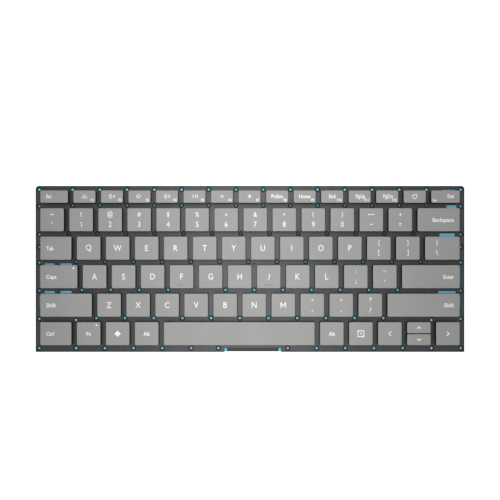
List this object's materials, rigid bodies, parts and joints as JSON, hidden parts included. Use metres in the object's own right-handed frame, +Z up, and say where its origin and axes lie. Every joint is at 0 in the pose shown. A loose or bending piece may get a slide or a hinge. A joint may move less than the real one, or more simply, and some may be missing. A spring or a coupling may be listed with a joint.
{
  "type": "laptop keyboard",
  "caption": "Thin laptop keyboard module: sprung keycaps on scissor links over a perforated base plate, with a light guide and a release liner behind.",
  "frame": {"origin": "under the middle of the base plate, on the underside of the release liner", "axes": "+Z up out of the keycaps, +X to the right along the rows, +Y towards the function row"},
  "size_m": [0.284, 0.11, 0.0049],
  "materials": {
    "keycap_plastic": "fine matt grey moulding",
    "plate_paint": "dark semi-gloss paint",
    "membrane_film": "dark printed film",
    "liner_film": "pale blue release film",
    "light_guide": "clear to milky sheet",
    "lamp_board": "black flexible board",
    "dome_rubber": "translucent silicone",
    "link_plastic": "natural moulding",
    "wire_steel": "drawn wire"
  },
  "bodies": {
    "base": {"release_liner": "liner_film", "light_guide": "light_guide", "lamp_strip": "lamp_board", "base_plate": "plate_paint", "membrane": "membrane_film", "rubber_domes": "dome_rubber", "scissor_outer_links": "link_plastic", "scissor_inner_links": "link_plastic", "stabiliser_wires": "wire_steel", "command_keycaps": "keycap_plastic"},
    "key_grave": {"key_grave": "keycap_plastic"},
    "key_1": {"key_1": "keycap_plastic"},
    "key_2": {"key_2": "keycap_plastic"},
    "key_3": {"key_3": "keycap_plastic"},
    "key_4": {"key_4": "keycap_plastic"},
    "key_5": {"key_5": "keycap_plastic"},
    "key_6": {"key_6": "keycap_plastic"},
    "key_7": {"key_7": "keycap_plastic"},
    "key_8": {"key_8": "keycap_plastic"},
    "key_9": {"key_9": "keycap_plastic"},
    "key_0": {"key_0": "keycap_plastic"},
    "key_minus": {"key_minus": "keycap_plastic"},
    "key_equals": {"key_equals": "keycap_plastic"},
    "key_backspace": {"key_backspace": "keycap_plastic"},
    "key_q": {"key_q": "keycap_plastic"},
    "key_w": {"key_w": "keycap_plastic"},
    "key_e": {"key_e": "keycap_plastic"},
    "key_r": {"key_r": "keycap_plastic"},
    "key_t": {"key_t": "keycap_plastic"},
    "key_y": {"key_y": "keycap_plastic"},
    "key_u": {"key_u": "keycap_plastic"},
    "key_i": {"key_i": "keycap_plastic"},
    "key_o": {"key_o": "keycap_plastic"},
    "key_p": {"key_p": "keycap_plastic"},
    "key_bracket_left": {"key_bracket_left": "keycap_plastic"},
    "key_bracket_right": {"key_bracket_right": "keycap_plastic"},
    "key_backslash": {"key_backslash": "keycap_plastic"},
    "key_a": {"key_a": "keycap_plastic"},
    "key_s": {"key_s": "keycap_plastic"},
    "key_d": {"key_d": "keycap_plastic"},
    "key_f": {"key_f": "keycap_plastic"},
    "key_g": {"key_g": "keycap_plastic"},
    "key_h": {"key_h": "keycap_plastic"},
    "key_j": {"key_j": "keycap_plastic"},
    "key_k": {"key_k": "keycap_plastic"},
    "key_l": {"key_l": "keycap_plastic"},
    "key_semicolon": {"key_semicolon": "keycap_plastic"},
    "key_quote": {"key_quote": "keycap_plastic"},
    "key_z": {"key_z": "keycap_plastic"},
    "key_x": {"key_x": "keycap_plastic"},
    "key_c": {"key_c": "keycap_plastic"},
    "key_v": {"key_v": "keycap_plastic"},
    "key_b": {"key_b": "keycap_plastic"},
    "key_n": {"key_n": "keycap_plastic"},
    "key_m": {"key_m": "keycap_plastic"},
    "key_comma": {"key_comma": "keycap_plastic"},
    "key_period": {"key_period": "keycap_plastic"},
    "key_slash": {"key_slash": "keycap_plastic"},
    "key_space": {"key_space": "keycap_plastic"},
    "space_wire": {"space_wire": "wire_steel"}
  },
  "joints": [
    {"name": "press_grave", "type": "slide", "parent": "base", "child": "key_grave", "axis": [0, 0, -1], "range_m": [0, 0.0013], "stiffness_N_per_m": 450, "deforming": ["rubber_domes", "scissor_outer_links", "scissor_inner_links"]},
    {"name": "press_1", "type": "slide", "parent": "base", "child": "key_1", "axis": [0, 0, -1], "range_m": [0, 0.0013], "stiffness_N_per_m": 450, "deforming": ["rubber_domes", "scissor_outer_links", "scissor_inner_links"]},
    {"name": "press_2", "type": "slide", "parent": "base", "child": "key_2", "axis": [0, 0, -1], "range_m": [0, 0.0013], "stiffness_N_per_m": 450, "deforming": ["rubber_domes", "scissor_outer_links", "scissor_inner_links"]},
    {"name": "press_3", "type": "slide", "parent": "base", "child": "key_3", "axis": [0, 0, -1], "range_m": [0, 0.0013], "stiffness_N_per_m": 450, "deforming": ["rubber_domes", "scissor_outer_links", "scissor_inner_links"]},
    {"name": "press_4", "type": "slide", "parent": "base", "child": "key_4", "axis": [0, 0, -1], "range_m": [0, 0.0013], "stiffness_N_per_m": 450, "deforming": ["rubber_domes", "scissor_outer_links", "scissor_inner_links"]},
    {"name": "press_5", "type": "slide", "parent": "base", "child": "key_5", "axis": [0, 0, -1], "range_m": [0, 0.0013], "stiffness_N_per_m": 450, "deforming": ["rubber_domes", "scissor_outer_links", "scissor_inner_links"]},
    {"name": "press_6", "type": "slide", "parent": "base", "child": "key_6", "axis": [0, 0, -1], "range_m": [0, 0.0013], "stiffness_N_per_m": 450, "deforming": ["rubber_domes", "scissor_outer_links", "scissor_inner_links"]},
    {"name": "press_7", "type": "slide", "parent": "base", "child": "key_7", "axis": [0, 0, -1], "range_m": [0, 0.0013], "stiffness_N_per_m": 450, "deforming": ["rubber_domes", "scissor_outer_links", "scissor_inner_links"]},
    {"name": "press_8", "type": "slide", "parent": "base", "child": "key_8", "axis": [0, 0, -1], "range_m": [0, 0.0013], "stiffness_N_per_m": 450, "deforming": ["rubber_domes", "scissor_outer_links", "scissor_inner_links"]},
    {"name": "press_9", "type": "slide", "parent": "base", "child": "key_9", "axis": [0, 0, -1], "range_m": [0, 0.0013], "stiffness_N_per_m": 450, "deforming": ["rubber_domes", "scissor_outer_links", "scissor_inner_links"]},
    {"name": "press_0", "type": "slide", "parent": "base", "child": "key_0", "axis": [0, 0, -1], "range_m": [0, 0.0013], "stiffness_N_per_m": 450, "deforming": ["rubber_domes", "scissor_outer_links", "scissor_inner_links"]},
    {"name": "press_minus", "type": "slide", "parent": "base", "child": "key_minus", "axis": [0, 0, -1], "range_m": [0, 0.0013], "stiffness_N_per_m": 450, "deforming": ["rubber_domes", "scissor_outer_links", "scissor_inner_links"]},
    {"name": "press_equals", "type": "slide", "parent": "base", "child": "key_equals", "axis": [0, 0, -1], "range_m": [0, 0.0013], "stiffness_N_per_m": 450, "deforming": ["rubber_domes", "scissor_outer_links", "scissor_inner_links"]},
    {"name": "press_backspace", "type": "slide", "parent": "base", "child": "key_backspace", "axis": [0, 0, -1], "range_m": [0, 0.0013], "stiffness_N_per_m": 450, "deforming": ["rubber_domes", "scissor_outer_links", "scissor_inner_links"]},
    {"name": "press_q", "type": "slide", "parent": "base", "child": "key_q", "axis": [0, 0, -1], "range_m": [0, 0.0013], "stiffness_N_per_m": 450, "deforming": ["rubber_domes", "scissor_outer_links", "scissor_inner_links"]},
    {"name": "press_w", "type": "slide", "parent": "base", "child": "key_w", "axis": [0, 0, -1], "range_m": [0, 0.0013], "stiffness_N_per_m": 450, "deforming": ["rubber_domes", "scissor_outer_links", "scissor_inner_links"]},
    {"name": "press_e", "type": "slide", "parent": "base", "child": "key_e", "axis": [0, 0, -1], "range_m": [0, 0.0013], "stiffness_N_per_m": 450, "deforming": ["rubber_domes", "scissor_outer_links", "scissor_inner_links"]},
    {"name": "press_r", "type": "slide", "parent": "base", "child": "key_r", "axis": [0, 0, -1], "range_m": [0, 0.0013], "stiffness_N_per_m": 450, "deforming": ["rubber_domes", "scissor_outer_links", "scissor_inner_links"]},
    {"name": "press_t", "type": "slide", "parent": "base", "child": "key_t", "axis": [0, 0, -1], "range_m": [0, 0.0013], "stiffness_N_per_m": 450, "deforming": ["rubber_domes", "scissor_outer_links", "scissor_inner_links"]},
    {"name": "press_y", "type": "slide", "parent": "base", "child": "key_y", "axis": [0, 0, -1], "range_m": [0, 0.0013], "stiffness_N_per_m": 450, "deforming": ["rubber_domes", "scissor_outer_links", "scissor_inner_links"]},
    {"name": "press_u", "type": "slide", "parent": "base", "child": "key_u", "axis": [0, 0, -1], "range_m": [0, 0.0013], "stiffness_N_per_m": 450, "deforming": ["rubber_domes", "scissor_outer_links", "scissor_inner_links"]},
    {"name": "press_i", "type": "slide", "parent": "base", "child": "key_i", "axis": [0, 0, -1], "range_m": [0, 0.0013], "stiffness_N_per_m": 450, "deforming": ["rubber_domes", "scissor_outer_links", "scissor_inner_links"]},
    {"name": "press_o", "type": "slide", "parent": "base", "child": "key_o", "axis": [0, 0, -1], "range_m": [0, 0.0013], "stiffness_N_per_m": 450, "deforming": ["rubber_domes", "scissor_outer_links", "scissor_inner_links"]},
    {"name": "press_p", "type": "slide", "parent": "base", "child": "key_p", "axis": [0, 0, -1], "range_m": [0, 0.0013], "stiffness_N_per_m": 450, "deforming": ["rubber_domes", "scissor_outer_links", "scissor_inner_links"]},
    {"name": "press_bracket_left", "type": "slide", "parent": "base", "child": "key_bracket_left", "axis": [0, 0, -1], "range_m": [0, 0.0013], "stiffness_N_per_m": 450, "deforming": ["rubber_domes", "scissor_outer_links", "scissor_inner_links"]},
    {"name": "press_bracket_right", "type": "slide", "parent": "base", "child": "key_bracket_right", "axis": [0, 0, -1], "range_m": [0, 0.0013], "stiffness_N_per_m": 450, "deforming": ["rubber_domes", "scissor_outer_links", "scissor_inner_links"]},
    {"name": "press_backslash", "type": "slide", "parent": "base", "child": "key_backslash", "axis": [0, 0, -1], "range_m": [0, 0.0013], "stiffness_N_per_m": 450, "deforming": ["rubber_domes", "scissor_outer_links", "scissor_inner_links"]},
    {"name": "press_a", "type": "slide", "parent": "base", "child": "key_a", "axis": [0, 0, -1], "range_m": [0, 0.0013], "stiffness_N_per_m": 450, "deforming": ["rubber_domes", "scissor_outer_links", "scissor_inner_links"]},
    {"name": "press_s", "type": "slide", "parent": "base", "child": "key_s", "axis": [0, 0, -1], "range_m": [0, 0.0013], "stiffness_N_per_m": 450, "deforming": ["rubber_domes", "scissor_outer_links", "scissor_inner_links"]},
    {"name": "press_d", "type": "slide", "parent": "base", "child": "key_d", "axis": [0, 0, -1], "range_m": [0, 0.0013], "stiffness_N_per_m": 450, "deforming": ["rubber_domes", "scissor_outer_links", "scissor_inner_links"]},
    {"name": "press_f", "type": "slide", "parent": "base", "child": "key_f", "axis": [0, 0, -1], "range_m": [0, 0.0013], "stiffness_N_per_m": 450, "deforming": ["rubber_domes", "scissor_outer_links", "scissor_inner_links"]},
    {"name": "press_g", "type": "slide", "parent": "base", "child": "key_g", "axis": [0, 0, -1], "range_m": [0, 0.0013], "stiffness_N_per_m": 450, "deforming": ["rubber_domes", "scissor_outer_links", "scissor_inner_links"]},
    {"name": "press_h", "type": "slide", "parent": "base", "child": "key_h", "axis": [0, 0, -1], "range_m": [0, 0.0013], "stiffness_N_per_m": 450, "deforming": ["rubber_domes", "scissor_outer_links", "scissor_inner_links"]},
    {"name": "press_j", "type": "slide", "parent": "base", "child": "key_j", "axis": [0, 0, -1], "range_m": [0, 0.0013], "stiffness_N_per_m": 450, "deforming": ["rubber_domes", "scissor_outer_links", "scissor_inner_links"]},
    {"name": "press_k", "type": "slide", "parent": "base", "child": "key_k", "axis": [0, 0, -1], "range_m": [0, 0.0013], "stiffness_N_per_m": 450, "deforming": ["rubber_domes", "scissor_outer_links", "scissor_inner_links"]},
    {"name": "press_l", "type": "slide", "parent": "base", "child": "key_l", "axis": [0, 0, -1], "range_m": [0, 0.0013], "stiffness_N_per_m": 450, "deforming": ["rubber_domes", "scissor_outer_links", "scissor_inner_links"]},
    {"name": "press_semicolon", "type": "slide", "parent": "base", "child": "key_semicolon", "axis": [0, 0, -1], "range_m": [0, 0.0013], "stiffness_N_per_m": 450, "deforming": ["rubber_domes", "scissor_outer_links", "scissor_inner_links"]},
    {"name": "press_quote", "type": "slide", "parent": "base", "child": "key_quote", "axis": [0, 0, -1], "range_m": [0, 0.0013], "stiffness_N_per_m": 450, "deforming": ["rubber_domes", "scissor_outer_links", "scissor_inner_links"]},
    {"name": "press_z", "type": "slide", "parent": "base", "child": "key_z", "axis": [0, 0, -1], "range_m": [0, 0.0013], "stiffness_N_per_m": 450, "deforming": ["rubber_domes", "scissor_outer_links", "scissor_inner_links"]},
    {"name": "press_x", "type": "slide", "parent": "base", "child": "key_x", "axis": [0, 0, -1], "range_m": [0, 0.0013], "stiffness_N_per_m": 450, "deforming": ["rubber_domes", "scissor_outer_links", "scissor_inner_links"]},
    {"name": "press_c", "type": "slide", "parent": "base", "child": "key_c", "axis": [0, 0, -1], "range_m": [0, 0.0013], "stiffness_N_per_m": 450, "deforming": ["rubber_domes", "scissor_outer_links", "scissor_inner_links"]},
    {"name": "press_v", "type": "slide", "parent": "base", "child": "key_v", "axis": [0, 0, -1], "range_m": [0, 0.0013], "stiffness_N_per_m": 450, "deforming": ["rubber_domes", "scissor_outer_links", "scissor_inner_links"]},
    {"name": "press_b", "type": "slide", "parent": "base", "child": "key_b", "axis": [0, 0, -1], "range_m": [0, 0.0013], "stiffness_N_per_m": 450, "deforming": ["rubber_domes", "scissor_outer_links", "scissor_inner_links"]},
    {"name": "press_n", "type": "slide", "parent": "base", "child": "key_n", "axis": [0, 0, -1], "range_m": [0, 0.0013], "stiffness_N_per_m": 450, "deforming": ["rubber_domes", "scissor_outer_links", "scissor_inner_links"]},
    {"name": "press_m", "type": "slide", "parent": "base", "child": "key_m", "axis": [0, 0, -1], "range_m": [0, 0.0013], "stiffness_N_per_m": 450, "deforming": ["rubber_domes", "scissor_outer_links", "scissor_inner_links"]},
    {"name": "press_comma", "type": "slide", "parent": "base", "child": "key_comma", "axis": [0, 0, -1], "range_m": [0, 0.0013], "stiffness_N_per_m": 450, "deforming": ["rubber_domes", "scissor_outer_links", "scissor_inner_links"]},
    {"name": "press_period", "type": "slide", "parent": "base", "child": "key_period", "axis": [0, 0, -1], "range_m": [0, 0.0013], "stiffness_N_per_m": 450, "deforming": ["rubber_domes", "scissor_outer_links", "scissor_inner_links"]},
    {"name": "press_slash", "type": "slide", "parent": "base", "child": "key_slash", "axis": [0, 0, -1], "range_m": [0, 0.0013], "stiffness_N_per_m": 450, "deforming": ["rubber_domes", "scissor_outer_links", "scissor_inner_links"]},
    {"name": "press_space", "type": "slide", "parent": "base", "child": "key_space", "axis": [0, 0, -1], "range_m": [0, 0.0013], "stiffness_N_per_m": 450, "deforming": ["rubber_domes", "scissor_outer_links", "scissor_inner_links"]},
    {"name": "turn_space_wire", "type": "hinge", "parent": "base", "child": "space_wire", "pos_m": [0, -0.04274, 0.00155], "axis": [1, 0, 0], "range_deg": [0, 12.6]}
  ],
  "couplings": [
    {"joint": "turn_space_wire", "follows": "press_space", "rad_per_m": 168}
  ]
}
